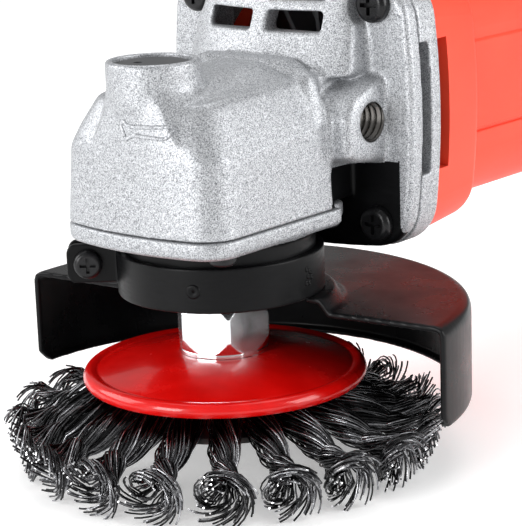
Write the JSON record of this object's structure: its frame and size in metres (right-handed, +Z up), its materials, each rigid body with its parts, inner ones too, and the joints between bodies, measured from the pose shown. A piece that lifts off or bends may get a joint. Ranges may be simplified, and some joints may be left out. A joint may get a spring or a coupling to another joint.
{
  "type": "angle grinder",
  "caption": "Hand-held angle grinder with a bevel gear head, swivelling half guard, spindle lock button and a bevel brush of twisted wire knots.",
  "frame": {"origin": "centre of the spindle's seat, where an accessory stops, on the spindle axis", "axes": "+Z up along the spindle, +Y back along the motor to the cord end, +X to the right of someone holding the grinder"},
  "size_m": [0.1245, 0.2949, 0.1197],
  "materials": {
    "cast_silver": "silver speckled paint over die casting",
    "housing_red": "moulded, fine grain",
    "grip_black": "moulded, fine grain",
    "disc_red": "glossy enamel",
    "guard_black": "glossy paint",
    "band_black": "satin paint",
    "screw_black": "black oxide",
    "nut_chrome": "bright plated",
    "wire_steel": "dark twisted steel wire",
    "gear_steel": "machined",
    "bearing_steel": "ground",
    "button_black": "moulded",
    "spring_steel": "wire",
    "bush_bronze": "sintered",
    "lamination": "stacked sheet",
    "copper_winding": "varnished wire",
    "commutator_copper": "turned copper",
    "carbon": "pressed carbon",
    "brass": "drawn",
    "fan_plastic": "moulded",
    "rubber_black": "moulded",
    "slider_black": "moulded, ribbed"
  },
  "bodies": {
    "housing": {"gear_housing": "cast_silver", "bearing_box": "cast_silver", "exhaust_ring": "cast_silver", "bearing_box_screws": "screw_black", "bearing_retainer": "gear_steel", "retainer_screws": "gear_steel", "spindle_bearing": "bearing_steel", "spindle_bush": "bush_bronze", "armature_front_bearing": "bearing_steel", "bearing_cover": "gear_steel", "lock_ring": "screw_black", "lock_spring": "spring_steel", "motor_housing": "housing_red", "housing_screws": "screw_black", "fan_shroud": "fan_plastic", "stator_core": "lamination", "field_coils": "copper_winding", "brush_holders": "brass", "carbon_brushes": "carbon", "brush_springs": "spring_steel", "brush_caps": "button_black", "armature_rear_bearing": "bearing_steel", "rear_bearing_sleeve": "rubber_black", "grip_shell_right": "grip_black", "grip_shell_left": "grip_black", "grip_screws": "screw_black", "switch_body": "grip_black", "cord_gland": "rubber_black"},
    "spindle": {"spindle": "gear_steel", "crown_gear": "gear_steel", "crown_gear_clip": "spring_steel", "brush_hub_nut": "nut_chrome", "brush_cap_disc": "disc_red", "brush_base_disc": "gear_steel", "brush_wire_knots": "wire_steel"},
    "armature": {"armature_shaft": "gear_steel", "armature_core": "lamination", "armature_windings": "copper_winding", "commutator": "commutator_copper", "cooling_fan": "fan_plastic", "pinion": "gear_steel", "pinion_nut": "gear_steel"},
    "lock": {"lock_button": "button_black", "lock_pin": "gear_steel"},
    "guard": {"guard": "guard_black", "guard_clamp_band": "band_black", "guard_clamp_screw": "screw_black", "guard_clamp_nut": "screw_black"},
    "switch": {"switch_slider": "slider_black"}
  },
  "joints": [
    {"name": "spindle_spin", "type": "hinge", "parent": "housing", "child": "spindle", "pos_m": [0, 0, 0], "axis": [0, 0, 1], "continuous": true},
    {"name": "armature_spin", "type": "hinge", "parent": "housing", "child": "armature", "pos_m": [0, 0.09, 0.044], "axis": [0, 1, 0], "continuous": true},
    {"name": "lock_press", "type": "slide", "parent": "housing", "child": "lock", "axis": [0, 0, -1], "range_m": [0, 0.0035], "stiffness_N_per_m": 1200, "springref_m": -0.003, "deforming": ["lock_spring"]},
    {"name": "guard_turn", "type": "hinge", "parent": "housing", "child": "guard", "pos_m": [0, 0, 0], "axis": [0, 0, 1], "range_deg": [-60, 75]},
    {"name": "switch_slide", "type": "slide", "parent": "housing", "child": "switch", "axis": [0, -1, 0], "range_m": [0, 0.007]}
  ],
  "couplings": [
    {"joint": "armature_spin", "follows": "spindle_spin", "ratio": 3}
  ]
}
